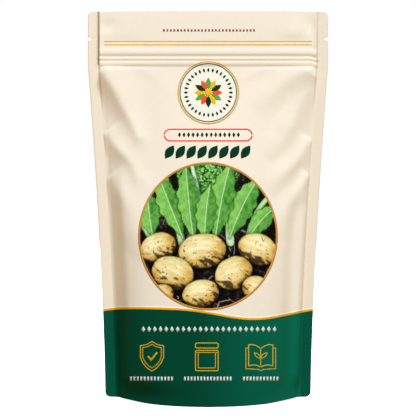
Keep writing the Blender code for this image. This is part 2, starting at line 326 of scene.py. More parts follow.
def wallFace(x, z, folds, dents):
    # outer face of a wall, from the middle plane: section times stand, then the folds and dents, which all
    # end at the welds
    x, z = np.broadcast_arrays(np.asarray(x, float), np.asarray(z, float))
    inside = weldEdge(z) - np.abs(x)
    share = np.clip(1 - np.abs(x) / weldEdge(z), 0, 1)
    blunt = easeStep(0, pouch["zipEndShare"], share)
    underZip = easeStep(0, pouch["zipFade"], pouch["zipFoot"] - z)
    dome = np.sin(np.pi / 2 * share ** pouch["sectionPower"]) ** 2
    belly = dome * easeStep(0, pouch["bellyEndShare"], share)
    section = blunt * (1 - underZip) + belly * underZip

    soft = flankRelief(x, z)
    for fold in folds:
        soft = soft + foldRelief(x, z, fold)
    soft = soft * (1 - easeStep(*pouch["foldTop"], z))
    for dent in dents:
        soft = soft + dentRelief(x, z, dent)
    flat = easeStep(pouch["top"] - pouch["flatTop"], pouch["top"], z)
    soft = soft * easeStep(0, pouch["foldEndShare"], share) * (1 - flat)

    droop = zipLock["droop"] * easeStep(*zipLock["droopFrom"], x)
    lowered = z + droop * (z > pouch["zipFoot"] - zipLock["droopBelow"])
    stand, rise = pouch["zipStand"], wallRise(lowered)
    rise = np.where(lowered < pouch["zipFoot"], stand * section + (rise - stand) * belly, rise * section)

    lip = np.exp(-((inside - crease["lipAt"]) / crease["lipReach"]) ** 2) * crease["lip"]
    lip = lip * easeStep(crease["foot"], crease["foot"] + crease["lipRun"], z) * (z < pouch["top"])
    face = pouch["weldFace"] + rise + zipLumps(x, z) + soft + lip * section
    return np.maximum(face, pouch["weldFace"])


def raised(x, z):
    # how far a point of the wall lies above its flat height: side welds clear of the floor, top edge bowed up
    share = 1 - np.abs(x) / weldEdge(z)
    foot = pouch["footLift"] * (1 - easeStep(0, pouch["footLiftShare"], share))
    bow = pouch["topBow"] * easeStep(pouch["zipTop"], pouch["top"], z) * (1 - (x / pouch["halfTop"]) ** 2)
    return foot * (1 - easeStep(0, pouch["footLiftHeight"], z)) + bow


def cornerInset(radius, reach):
    return radius - np.sqrt(np.maximum(0, radius ** 2 - reach ** 2))


def edgeInset(z):
    # how far the side is cut in, at the round corners and at the tear notch
    top, foot, notch = pouch["topCorner"], pouch["footCorner"], pouch["notchRadius"]
    inset = cornerInset(top, np.clip(top - (pouch["top"] - z), 0, top))
    inset = inset + cornerInset(foot, np.clip(foot - z, 0, foot))
    off = np.abs(z - pouch["notchHeight"])
    cut = pouch["notchDepth"] - cornerInset(notch, np.minimum(off, notch))
    return inset + np.where(off < wallGrid["notchRim"] * notch, cut, 0)


wallGrid = dict(
    # heights where the spacing of the rows changes, and the spacing in each band
    heights=(0, 3, 12, 174, 179, 191.5),
    spacing=(0.33, 0.9, 1.15, 0.6, 0.3),
    headerSpacing=0.62,
    cornerSpacing=0.27,
    notchRows=5,  # to a radius of the notch
    notchRim=1.005,  # in radii of the notch: rows up to here are cut in,
    notchBeside=1.03,  # and the next ones stand here
    insideWeld=((0, 0.25), (1.5, 0.5), (8.0, 1.05)),  # distance in from the weld, and the spacing from there
    weldColumns=(0.0, 0.04, 0.1, 0.25, 0.4, 0.55, 0.7, 0.85, 1.0),  # share of the weld's width
)


def bands(edges, spacings):
    # evenly spaced values in each band, with every edge exactly once
    runs = [np.linspace(low, high, max(1, round((high - low) / step)), endpoint=False)
            for low, high, step in zip(edges[:-1], edges[1:], spacings)]
    return np.concatenate(runs + [[edges[-1]]])


def wallRows():
    # heights of the rows: the belly and the zip, then the header with its notch and top corners
    notch, radius, top = pouch["notchHeight"], pouch["notchRadius"], pouch["top"]
    beside, step = wallGrid["notchBeside"] * radius, wallGrid["headerSpacing"]
    belly = bands(wallGrid["heights"], wallGrid["spacing"])
    header = bands((wallGrid["heights"][-1], notch - beside, notch - radius, notch + radius, notch + beside,
                    top - pouch["topCorner"], top),
                   (step, 1, radius / wallGrid["notchRows"], 1, step, wallGrid["cornerSpacing"]))
    return np.concatenate([belly[:-1], header])


def wallColumns():
    # 0 at mid-width, 1 at the weld's inner edge and 2 at the outer edge, both ways
    free = pouch["halfFoot"] - pouch["sideSeal"]
    edges = [distance for distance, _ in wallGrid["insideWeld"]] + [free]
    inwards = bands(edges, [step for _, step in wallGrid["insideWeld"]])
    half = np.concatenate([(free - inwards[::-1]) / free, 1 + np.array(wallGrid["weldColumns"][1:])])
    return np.concatenate([-half[:0:-1], half])


def makeWall(name, facing, material):
    # x follows the weld's edge and the outline, y the wall's face, z the height with its lift
    z = wallRows()[:, None]
    column = wallColumns()[None, :]
    inner, outer = weldEdge(z), halfWidth(z) - edgeInset(z)
    size = np.abs(column)
    x = np.sign(column) * np.where(size <= 1, size * inner, inner + (size - 1) * (outer - inner))
    z = np.broadcast_to(z, x.shape)
    face = wallFace(x, z, *wallForms[facing])
    height = z + raised(x, z)
    points = np.stack([x, facing * face, height], axis=2).reshape(-1, 3)
    faces = gridFaces(*x.shape)
    if facing > 0:
        faces = faces[:, ::-1]
    wall = fillMesh(name, points, faces, material)
    nearer = eye["distance"] / (eye["distance"] - face)
    seen = np.stack([x * nearer, eye["height"] + (height - eye["height"]) * nearer], axis=2).reshape(-1, 2)
    addPrintMap(wall, seen)
    onWeld = easeStep(-0.01, 0.01, size - 1) + 0 * z
    # the weld share, and the share of painted shade along the crease at the weld's inner edge
    for label, values in (("weld", onWeld), ("crease", creaseShadeShare(x, z))):
        attribute = wall.data.attributes.new(label, "FLOAT", "POINT")
        attribute.data.foreach_set("value", values.ravel().astype(np.float32))
    giveThickness(wall, pouch["film"])
    return wall


printSpan = 220.0  # millimetres of the layout that the print map's unit square covers


def addPrintMap(piece, seen):
    # the flat layout's millimetres as a UV map, with the layout's middle at half the square
    corners = np.zeros(len(piece.data.loops), np.int32)
    piece.data.loops.foreach_get("vertex_index", corners)
    spread = seen[corners] / printSpan + (0.5, 0)
    piece.data.uv_layers.new(name="print").data.foreach_set("uv", spread.ravel().astype(np.float32))


web = dict(
    fold=38.0,  # height of the fold where it meets the side welds
    crest=8.0,  # and at mid-width
    foldPower=3,
    skirt=5.0,  # least height of the upright legs
    clear=0.25,
    slack=0.06,
    reach=0.955,  # share of the walls' half width
    columns=121, legRows=6, archRows=41,
)


def webCrest(x):
    # height of the bottom web's fold: pressed down by the seeds in the middle, high where it meets the welds
    share = np.minimum(1, np.abs(x) / (web["reach"] * weldEdge(0.0)))
    return web["crest"] + (web["fold"] - web["crest"]) * share ** web["foldPower"]


def makeGusset(name, material):
    # a skirt up both walls and an arch between them, each column a half ellipse on two upright legs
    x = np.linspace(-1, 1, web["columns"])[None, :] * web["reach"] * weldEdge(0.0)
    face = wallFace(x, 0.0, frontFolds, frontDents)
    slope = np.gradient(face[0], x[0])[None, :]
    half = face - (pouch["film"] + web["slack"]) * np.hypot(1, slope)
    crest = webCrest(x)
    cap = np.minimum(half, crest - web["skirt"])
    foot = web["clear"] + raised(x, 0.0)
    leg = np.linspace(0, 1, web["legRows"])[:-1, None]
    turn = np.linspace(0, np.pi, web["archRows"])[:, None]
    legHeight = foot + (crest - cap - foot) * leg
    height = np.concatenate([legHeight, crest - cap + cap * np.sin(turn), legHeight[::-1]])
    depth = np.concatenate([-half + 0 * leg, -half * np.cos(turn), half + 0 * leg])
    points = np.stack([np.broadcast_to(x, height.shape), depth, height], axis=2).reshape(-1, 3)
    gusset = fillMesh(name, points, gridFaces(*height.shape), material)
    addPrintMap(gusset, np.stack([points[:, 0], 0 * points[:, 2]], axis=1))
    giveThickness(gusset, pouch["film"])
    return gusset


seeds = dict(
    level=148.0,  # top of the heap at mid-width
    heap=6.0,  # and its drop to the sides
    reach=0.88,  # share of the walls' half width
    clear=2.2,  # above the bottom web
    gap=0.55, inside=0.9, least=0.3,  # room left inside the walls, and the least depth
    size=3.4, bump=0.9,  # of a grain
    lattice=64, jitter=0.6, dome=0.85,
    columns=90, rows=110, spacing=1.2,
)


def seedDomes(x, z, seed):
    # round-backed grains: a dome about the nearest of the jittered centres of a square lattice
    lattice, jitter = seeds["lattice"], seeds["jitter"]
    places = np.random.default_rng(seed).random((lattice, lattice, 2)) * jitter + (1 - jitter) / 2
    u, v = x / seeds["size"], z / seeds["size"]
    best = np.full(np.broadcast(u, v).shape, 9.0)
    for right in (-1, 0, 1):
        for above in (-1, 0, 1):
            i, j = np.floor(u).astype(int) + right, np.floor(v).astype(int) + above
            centre = places[i % lattice, j % lattice]
            best = np.minimum(best, (u - i - centre[..., 0]) ** 2 + (v - j - centre[..., 1]) ** 2)
    return np.sqrt(np.maximum(0, 1 - best / seeds["dome"]))


def makeSeeds(name, material):
    # the seeds as one heap inside the walls: a ring of columns round front and back, closed below and above
    across = np.linspace(-1, 1, seeds["columns"])
    up = np.linspace(0, 1, seeds["rows"])[:, None]
    low = webCrest(seeds["reach"] * across * weldEdge(0.0)) + seeds["clear"]
    z = low + (seeds["level"] - seeds["heap"] * across ** 2 - low) * up
    x = seeds["reach"] * across * weldEdge(z)
    sides = []
    for facing in (-1, 1):
        face = wallFace(x, z, *wallForms[facing])
        slope = np.hypot(*np.gradient(face, seeds["spacing"]))
        room = face - (pouch["film"] + seeds["gap"]) * np.hypot(1, np.minimum(slope, 1))
        grains = seeds["bump"] * (1 - seedDomes(x, z, 5 + facing))
        depth = np.maximum(np.minimum(room, face - seeds["inside"]) - grains, seeds["least"])
        sides.append(np.stack([x, facing * depth, z], axis=2))
    ring = np.concatenate([sides[0], sides[1][:, ::-1]], axis=1)
    rows, columns = ring.shape[:2]
    seam = np.arange(rows - 1) * columns
    closing = np.stack([seam + columns - 1, seam, seam + columns, seam + 2 * columns - 1], axis=1)
    pair = np.arange(seeds["columns"] - 1)
    base = np.stack([pair, columns - 1 - pair, columns - 2 - pair, pair + 1], axis=1)
    lid = (base + (rows - 1) * columns)[:, ::-1]
    return fillMesh(name, ring.reshape(-1, 3), np.concatenate([gridFaces(rows, columns), closing, base, lid]),
                    material)


# Materials

laminate = dict(
    # matt-lacquered print under BOPP film: satin, faintly mottled, with a fine orange peel
    roughness=0.44, ior=1.5, specular=0.02,
    glossSpread=(-0.04, 0.05),
    mottleSize=1.7, mottleDepth=0.035, peelSize=0.55, peelHeight=0.004,
)


def startMaterial(name, roughness, ior=1.5):
    material = bpy.data.materials.new(name)
    material.use_nodes = True
    tree = material.node_tree
    tree.nodes.clear()
    shader = addNode(tree, "BsdfPrincipled", {"Roughness": roughness, "IOR": ior})
    addNode(tree, "OutputMaterial", {"Surface": shader.outputs["BSDF"]})
    return material, tree, shader


def finishLaminate(tree, shader, colour):
    # mottle in the colour, gloss that varies a little, and the peel of the lacquer as bump
    place = addNode(tree, "TexCoord").outputs["Object"]
    mottle = addNode(tree, "TexNoise", {"Vector": place, "Scale": 1 / (laminate["mottleSize"] * mm),
                                        "Detail": 3.0, "Roughness": 0.6})
    shade = addNode(tree, "MapRange", {"Value": mottle.outputs["Fac"], "From Min": 0.25, "From Max": 0.75,
                                       "To Min": 1 - laminate["mottleDepth"], "To Max": 1.0})
    tinted = addNode(tree, "VectorMath", {0: colour, "Scale": shade.outputs["Result"]}, operation="SCALE")
    tree.links.new(tinted.outputs["Vector"], shader.inputs["Base Color"])
    low, high = (laminate["roughness"] + spread for spread in laminate["glossSpread"])
    gloss = addNode(tree, "MapRange", {"Value": mottle.outputs["Fac"], "From Min": 0.2, "From Max": 0.8,
                                       "To Min": low, "To Max": high})
    tree.links.new(gloss.outputs["Result"], shader.inputs["Roughness"])
    peel = addNode(tree, "TexNoise", {"Vector": place, "Scale": 1 / (laminate["peelSize"] * mm),
                                      "Detail": 1.0})
    bump = addNode(tree, "Bump", {"Height": peel.outputs["Fac"], "Strength": 0.5,
                                  "Distance": laminate["peelHeight"] * mm})
    tree.links.new(bump.outputs["Normal"], shader.inputs["Normal"])
    shader.inputs["Specular IOR Level"].default_value = laminate["specular"]


footBand = dict(
    # the wave where cream meets green: mean height and two harmonics of its period, in millimetres
    mean=46.93, period=112.0, swing=2.915, phase=-2.878, ripple=0.64, ripplePhase=1.787,
    goldHalf=0.55, haloWidth=0.55,
    # the crease tone is painted shade, a brown line along the welds' inner edge
    cream="#EFE0C6", weldCream="#F2E1C6", weldShadedRight="#ECDCC1", creaseShadeTone="#A08460",
    halo="#FFFBEF", gold="#F0A508",
    green="#03432D", greenLitRight="#08694D", weldGreen="#06523A",
    # painted light and shade from left to right: the green is painted darker on the left and lighter on the
    # right, and the welds' cream a little darker on the right
    sideLightFrom=-5.0, sideLightTo=55.0,  # the green and the welds' cream change to their right-hand colours between
)


def makeFilmMaterial():
    # printed laminate: cream field, green foot band, gold line along the wave, all from the print map
    material, tree, shader = startMaterial("printed laminate film", laminate["roughness"], laminate["ior"])
    layout = addNode(tree, "UVMap", uv_map="print").outputs["UV"]
    split = addNode(tree, "SeparateXYZ", {"Vector": layout})
    across = addNode(tree, "MapRange", {"Value": split.outputs["X"], "To Min": -printSpan / 2,
                                        "To Max": printSpan / 2}, clamp=False).outputs["Result"]
    height = addNode(tree, "MapRange", {"Value": split.outputs["Y"], "To Max": printSpan},
                     clamp=False).outputs["Result"]
    turn = 2 * np.pi / footBand["period"]
    wave = footBand["mean"]
    for times, size, phase in ((1, "swing", "phase"), (2, "ripple", "ripplePhase")):
        angle = addNode(tree, "Math", {0: across, 1: times * turn, 2: footBand[phase]},
                        operation="MULTIPLY_ADD")
        sine = addNode(tree, "Math", {0: angle.outputs[0]}, operation="SINE")
        wave = addNode(tree, "Math", {0: sine.outputs[0], 1: footBand[size], 2: wave},
                       operation="MULTIPLY_ADD").outputs[0]
    above = addNode(tree, "Math", {0: height, 1: wave}, operation="SUBTRACT").outputs[0]
    weld = addNode(tree, "Attribute", attribute_name="weld").outputs["Fac"]
    # share of the painted light and shade across the pouch, 0 on the left and 1 on the right
    sideLightShare = addNode(tree, "MapRange", {"Value": across, "From Min": footBand["sideLightFrom"],
                                            "From Max": footBand["sideLightTo"]}).outputs["Result"]
    onWeld = addNode(tree, "Mix", {0: sideLightShare, 6: linear(footBand["weldCream"]),
                                   7: linear(footBand["weldShadedRight"])}, data_type="RGBA").outputs[2]
    cream = addNode(tree, "Mix", {0: weld, 6: linear(footBand["cream"]), 7: onWeld},
                    data_type="RGBA").outputs[2]
    green = addNode(tree, "Mix", {0: sideLightShare, 6: linear(footBand["green"]),
                                  7: linear(footBand["greenLitRight"])}, data_type="RGBA").outputs[2]
    green = addNode(tree, "Mix", {0: weld, 6: green, 7: linear(footBand["weldGreen"])},
                    data_type="RGBA").outputs[2]
    # painted shade: the cream darkens to a brown line along the crease at the weld's inner edge
    creaseShadeMask = addNode(tree, "Attribute", attribute_name="crease").outputs["Fac"]
    cream = addNode(tree, "Mix", {0: creaseShadeMask, 6: cream, 7: linear(footBand["creaseShadeTone"])},
                    data_type="RGBA").outputs[2]
    # from the top down: cream, a thin pale halo, the gold line, green
    steps = ((footBand["goldHalf"] + footBand["haloWidth"], linear(footBand["halo"])),
             (footBand["goldHalf"], linear(footBand["gold"])),
             (-footBand["goldHalf"], green))
    colour = cream
    for limit, tone in steps:
        under = addNode(tree, "Math", {0: above, 1: limit}, operation="LESS_THAN").outputs[0]
        colour = addNode(tree, "Mix", {0: under, 6: colour, 7: tone}, data_type="RGBA").outputs[2]
    finishLaminate(tree, shader, colour)
    return material


def makeInkMaterial(name, hexColour):
    # an ink printed on the same film, under the same lacquer
    material, tree, shader = startMaterial(name, laminate["roughness"], laminate["ior"])
    colour = addNode(tree, "RGB")
    colour.outputs[0].default_value = linear(hexColour)
    finishLaminate(tree, shader, colour.outputs[0])
    return material


# Print, laid on the walls as thin ink

inkLift = 0.06  # the ink's face above the film
inkBody = 0.09  # its thickness, so that its back lies inside the film


def layOnWall(seen, facing, lift, rounds=14):
    # where the eye's line through each point of the flat layout meets the wall, closing in by rounds
    nearer = 1.0
    for _ in range(rounds):
        x = seen[:, 0] * nearer
        height = eye["height"] + (seen[:, 1] - eye["height"]) * nearer
        z = height - raised(x, height)
        face = wallFace(x, z, *wallForms[facing]) + lift
        nearer = (eye["distance"] - face) / eye["distance"]
    return np.stack([x, facing * face, height], axis=1)


def makeInk(name, patches, material, facing=-1, lift=inkLift):
    # each patch is flat points and their four-cornered faces; they are laid on the wall as one thin piece
    points, faces, count = [], [], 0
    for flat, corners in patches:
        after = np.roll(corners, -1, axis=1)
        area = (flat[corners, 0] * flat[after, 1] - flat[after, 0] * flat[corners, 1]).sum()
        points.append(flat)
        faces.append((corners if area * facing < 0 else corners[:, ::-1]) + count)
        count += len(flat)
    flat = np.concatenate(points)
    piece = fillMesh(name, layOnWall(flat, facing, lift), np.concatenate(faces), material)
    giveThickness(piece, inkBody)
    finishPiece(piece, "printed_film")
    return piece, flat


def ovalPath(centre, radii, count=96):
    turn = np.linspace(0, 2 * np.pi, count, endpoint=False)
    return np.array(centre) + np.stack([np.cos(turn), np.sin(turn)], axis=1) * radii


def roundedPath(low, high, radius):
    # a rectangle with round corners, anticlockwise from its lower right
    turn = np.linspace(0, np.pi / 2, 7)
    corners = ((high[0] - radius, low[1] + radius), (high[0] - radius, high[1] - radius),
               (low[0] + radius, high[1] - radius), (low[0] + radius, low[1] + radius))
    starts = (-np.pi / 2, 0, np.pi / 2, np.pi)
    return np.concatenate([corner + radius * np.stack([np.cos(turn + start), np.sin(turn + start)], axis=1)
                           for corner, start in zip(np.array(corners), starts)])


def leafPath(foot, tip, width, count=12):
    # two arcs that meet in a point at both ends
    foot, tip = np.array(foot, float), np.array(tip, float)
    side = np.array((foot[1] - tip[1], tip[0] - foot[0])) / np.linalg.norm(tip - foot)
    share = np.linspace(0, 1, count)[:, None]
    bow = np.sin(np.pi * share) * width / 2 * side
    there, back = foot + (tip - foot) * share + bow, tip + (foot - tip) * share - bow[::-1]
    return np.concatenate([there[:-1], back[:-1]])


def ribbon(path, width, closed=False, step=1.5):
    # a line of even width along a path, cut into short lengths and mitred at its corners
    path = np.asarray(path, float)
    ends = np.roll(path, -1, axis=0) if closed else path[1:]
    pieces = [start + (end - start) * np.linspace(0, 1, max(1, int(np.hypot(*(end - start)) / step + 1)),
                                                  endpoint=False)[:, None] for start, end in zip(path, ends)]
    path = np.concatenate(pieces if closed else pieces + [path[-1:]])
    if closed:
        before, after = path - np.roll(path, 1, axis=0), np.roll(path, -1, axis=0) - path
    else:
        gaps = np.diff(path, axis=0)
        before, after = np.concatenate([gaps[:1], gaps]), np.concatenate([gaps, gaps[-1:]])
    left, right = (np.stack([-way[:, 1], way[:, 0]], axis=1) / np.linalg.norm(way, axis=1)[:, None]
                   for way in (before, after))
    mitre = (left + right) / np.maximum(0.6, 1 + (left * right).sum(axis=1))[:, None]
    count = len(path)
    here = np.arange(count if closed else count - 1)
    ahead = (here + 1) % count
    return (np.concatenate([path - mitre * width / 2, path + mitre * width / 2]),
            np.stack([here, ahead, ahead + count, here + count], axis=1))


def filled(outline, cells=4):
    # a shape filled with square cells: the rings of a square grid are drawn out to the outline
    outline = np.asarray(outline, float)
    centre = outline.mean(axis=0)
    step = np.linspace(-1, 1, cells + 1)
    across, up = (side.ravel() for side in np.meshgrid(step, step))
    ring = np.maximum(np.abs(across), np.abs(up))
    size = np.maximum(ring, 1e-9)
    turn = np.select([across == ring, up == ring, across == -ring],
                     [(up / size + 1) / 2, 1 + (1 - across / size) / 2, 2 + (1 - up / size) / 2],
                     3 + (across / size + 1) / 2) / 4
    rim = np.concatenate([outline, outline[:1]])
    place = turn * len(outline)
    edge = np.stack([np.interp(place, np.arange(len(rim)), rim[:, side]) for side in (0, 1)], axis=1)
    return centre + (edge - centre) * ring[:, None], gridFaces(cells + 1, cells + 1)


def turned(path, centre, angle):
    # a path turned about a centre
    cosine, sine = np.cos(angle), np.sin(angle)
    return (np.asarray(path, float) - centre) @ np.array([[cosine, sine], [-sine, cosine]]) + centre


marks = dict(barCorner=0.3, barCells=2, lozengeCells=2, leafWidth=0.95, leafCells=8)


def shortBar(left, right, low, high):
    return filled(roundedPath((left, low), (right, high), marks["barCorner"]), marks["barCells"])


def lozenge(left, right, low, high):
    x, z = (left + right) / 2, (low + high) / 2
    return filled([(right, z), (x, high), (left, z), (x, low)], marks["lozengeCells"])


def slantLeaf(left, right, low, high):
    leaf = leafPath((left, low), (right, high), (right - left) * marks["leafWidth"])
    return filled(leaf, marks["leafCells"])


def markRow(row, shape):
    # like marks of one shape, spread evenly from the row's low left to its high right
    (left, low), (right, high) = row["low"], row["high"]
    step = row["width"] + row["gap"]
    scale = (right - left) / (row["count"] * step - row["gap"])
    starts = left + np.arange(row["count"]) * step * scale
    return [shape(start, start + row["width"] * scale, low, high) for start in starts]


icons = dict(line=0.52, thinner=0.8, tick=0.9, innerShield=0.8, spine=28.6, page=6.6, cover=8.1)


def makePictograms():
    # line figures: a shield with a tick, a zip pouch, and an open book with a sprout
    line, thin = icons["line"], icons["line"] * icons["thinner"]
    shield = [(-30.4, 31.2), (-33.2, 29.5), (-36.7, 28.8), (-36.7, 22.6), (-35.3, 19.4), (-32.9, 16.7),
              (-30.4, 15.1), (-27.9, 16.7), (-25.5, 19.4), (-24.1, 22.6), (-24.1, 28.8), (-27.6, 29.5)]
    middle = np.array((-30.4, 23.6))
    inner = middle + (np.array(shield) - middle) * icons["innerShield"]
    figures = [ribbon(shield, line, True), ribbon(inner, thin, True),
               ribbon([(-32.6, 23.2), (-30.8, 21.1), (-27.6, 25.3)], icons["tick"])]
    figures += [ribbon(roundedPath((-6.8, 27.6), (5.5, 30.3), 0.7), line, True),
                ribbon(roundedPath((-6.8, 15.3), (5.5, 26.3), 0.7), line, True),
                ribbon([(-5.3, 24.8), (-5.3, 16.8), (4.0, 16.8), (4.0, 24.8)], thin),
                ribbon([(-6.8, 25.2), (5.5, 25.2)], thin)]
    spine, arc = icons["spine"], np.linspace(0, 1, 9)[:, None]
    for side in (-1, 1):
        page, cover = icons["page"] * side, icons["cover"] * side
        lower = arc * (page, 0.6) + np.sin(np.pi * arc) * (0, 0.8)
        upper = np.array((page, 12.0)) + arc[1:] * (-page, -2.0) + np.sin(np.pi * arc[1:]) * (0, 0.9)
        leaf = np.concatenate([lower, np.array([(page, 12.0)]), upper])
        figures.append(ribbon(np.array((spine, 17.3)) + leaf, line))
        figures.append(ribbon([(spine + page, 27.6), (spine + cover, 27.6), (spine + cover, 16.4),
                               (spine + 1.2 * side, 16.0), (spine, 15.2)], thin))
        figures.append(ribbon(leafPath((spine, 22.0), (spine + 3.5 * side, 25.0), 1.7), thin, True))
    figures.append(ribbon([(spine, 27.0), (spine, 17.4)], thin))
    return figures


picture = dict(
    centre=(0.0, 88.23), radii=(37.2, 39.5), lift=0.1,
    cells=196, corners=256,  # of the disc
    rim=1.05, rimOut=0.15, rimLift=0.16, rimCorners=480,
    straws=240, seed=11,
    grainCells=64, grainPlace=700,  # the random grid repeats after this many cells, and starts far off
    greens=(("#3C7A2C", "#A8DC78"), ("#4F9440", "#C4EBA0"), ("#77A86C", "#DDF0CC")),
    # start, bend, end, half width, and which pair of greens
    stems=(((-30, -4), (-34, 8), (-44, 14), 1.8, 1), ((-14, -4), (-18, 14), (-25, 40), 2.0, 0),
           ((-2, -2), (-3, 14), (-9, 40), 1.7, 2), ((12, -2), (10, 18), (14, 42), 2.1, 0),
           ((22, -2), (24, 14), (36, 24), 1.8, 1)),
    # foot, tip and width
    leaves=(((-30, 0), (-33, 24), 12), ((22, -1), (37, 16), 10), ((-14, 0), (-27, 33), 12.5),
            ((12, 0), (27, 31), 13), ((-8, -1), (-12, 38), 12), ((4, -1), (12, 39), 13.5),
            ((-2, -3), (1, 27), 11)),
    # place, length, width and turn
    tubers=((-27, -6, 10.0, 7.6, 0.4), (27, -7, 11.0, 8.2, -0.35), (-3, -8, 13.0, 9.4, 0.12),
            (-19, -20, 11.5, 9.0, -0.3), (14, -20, 10.5, 8.6, 0.5), (-4, -31, 10.0, 7.4, 0.2),
            (27, -29, 9.0, 7.0, -0.5), (-26, -33, 8.0, 6.4, 0.6)),
)


def grain(x, z, size, seed):
    # soft random patches of one size, from 0 to 1
    count = picture["grainCells"]
    cells = np.random.default_rng(seed).random((count, count))
    u, v = x / size + picture["grainPlace"], z / size + picture["grainPlace"]
    i, j = np.floor(u).astype(int), np.floor(v).astype(int)
    right, above = easeStep(0, 1, u - i), easeStep(0, 1, v - j)
    i, j, nextI, nextJ = i % count, j % count, (i + 1) % count, (j + 1) % count
    low = cells[i, j] * (1 - right) + cells[nextI, j] * right
    high = cells[i, nextJ] * (1 - right) + cells[nextI, nextJ] * right
    return low * (1 - above) + high * above


def alongPath(x, z, path):
    # distance to a smooth path through three points, the share of its run there, and which side
    start, bend, end = (np.array(point, float) for point in path)
    share = np.linspace(0, 1, 33)[:, None]
    run = (1 - share) ** 2 * start + 2 * share * (1 - share) * bend + share ** 2 * end
    gap = np.stack([x, z], axis=1)[:, None, :] - run
    nearest = np.argmin((gap ** 2).sum(axis=2), axis=1)
    ahead = np.gradient(run, axis=0)[nearest]
    off = gap[np.arange(len(x)), nearest]
    length = np.linalg.norm(ahead, axis=1)
    side = (ahead[:, 0] * off[:, 1] - ahead[:, 1] * off[:, 0]) / length
    past = np.maximum(0, np.abs((off * ahead).sum(axis=1)) / length - length)
    return np.hypot(side, past), share[nearest, 0], side


def tones(dark, pale, share):
    dark, pale = np.array(linear(dark)[:3]), np.array(linear(pale)[:3])
    return dark + (pale - dark) * np.clip(share, 0, 1)[:, None]


def lay(paint, mask, colour):
    # one coat over what is there; the colour is one hex value, or an array with a row for each point
    colour = np.array(linear(colour)[:3]) if isinstance(colour, str) else colour
    paint[:] = paint * (1 - mask[:, None]) + colour * mask[:, None]


def paintSoil(paint, x, z):
    # dark crumbs in three tones, and scattered straw
    draw = np.random.default_rng(picture["seed"])
    fine, coarse = grain(x, z, 0.8, 1), grain(x, z, 3.1, 2)
    lay(paint, np.ones(len(x)), "#0E0B0A")
    lay(paint, easeStep(0.5, 1.0, 0.55 * fine + 0.45 * coarse), "#3A2F2A")
    lay(paint, easeStep(0.8, 1.0, fine) * easeStep(0.5, 0.8, coarse), "#6E6258")
    for _ in range(picture["straws"]):
        start = draw.uniform((-38, -40), (38, 14))
        angle, length = draw.uniform(0, np.pi), draw.uniform(1.0, 6.5)
        end = start + length * np.array((np.cos(angle), np.sin(angle)))
        away, _, _ = alongPath(x, z, (start, (start + end) / 2 + draw.normal(0, 0.5, 2), end))
        tone = draw.choice(["#B9AC99", "#6B5A4C", "#4F443D", "#D9D2C6", "#8A7458", "#2E2622"])
        lay(paint, draw.uniform(0.2, 0.8) * (1 - easeStep(0.06, 0.34, away)), tone)


def paintFoliage(paint, x, z):
    # feathery foliage behind the stems, in ever smaller and paler patches
    leafy = easeStep(15, 23, z + 7 * grain(x, z, 5, 3) - 0.07 * x ** 2)
    lay(paint, leafy, "#1D4A16")
    for size, seed, tone in ((2.1, 4, "#3F8A2B"), (1.2, 5, "#6DB84A"), (0.8, 6, "#A4DD78")):
        lay(paint, leafy * easeStep(0.5, 0.9, grain(x + 0.6 * z, z - 0.4 * x, size, seed)), tone)


def paintStem(paint, x, z, start, bend, end, half, green):
    # a streaked round stem with a dark edge, pale at its root
    away, share, side = alongPath(x, z, (start, bend, end))
    half = half * (0.6 + 0.4 * (1 - share) ** 0.7)
    across = np.clip(side / half, -1, 1)
    streak = grain(side * 1.7 + 3 * start[0], share * 7, 1.0, 7)
    lay(paint, 0.85 * (1 - easeStep(-0.2, 1.3, away - half)), "#14290E")
    tone = tones(*picture["greens"][green], 0.86 - 0.8 * (across - 0.2) ** 2 + 0.5 * (streak - 0.5))
    root = (1 - easeStep(0.0, 0.22, share))[:, None]
    tone = tone * (1 - 0.55 * root) + np.array(linear("#EEF2CC")[:3]) * 0.55 * root
    lay(paint, 1 - easeStep(-0.3, 0.15, away - half), tone)


def paintLeaf(paint, x, z, foot, tip, wide):
    # a broad leaf with a wavy edge, a pale midrib and slanting veins
    foot, tip = np.array(foot, float), np.array(tip, float)
    away, share, side = alongPath(x, z, (foot, (foot + tip) / 2 + (-1, 2.5), tip))
    half = wide / 2 * np.sin(np.pi * np.clip(share, 0.01, 0.99)) ** 0.8 * (1 + 0.10 * np.sin(34 * share))
    lay(paint, 0.8 * (1 - easeStep(-0.2, 1.2, away - half)), "#12300C")
    run = share * np.hypot(*(tip - foot)) - 0.8 * np.abs(side)
    vein = easeStep(0.8, 1.0, np.abs((run / 2.3) % 1 - 0.5) * 2)
    lit = 0.50 + 0.25 * np.sign(side) * np.minimum(1, np.abs(side)) + 0.5 * (grain(x, z, 1.6, 8) - 0.5)
    lay(paint, 1 - easeStep(-0.35, 0.0, away - half), tones("#2F7A22", "#8CCB5C", lit + 0.25 * vein))
    lay(paint, 0.8 * (1 - easeStep(0.1, 0.4, np.abs(side))) * (away < half), "#C9E8A6")


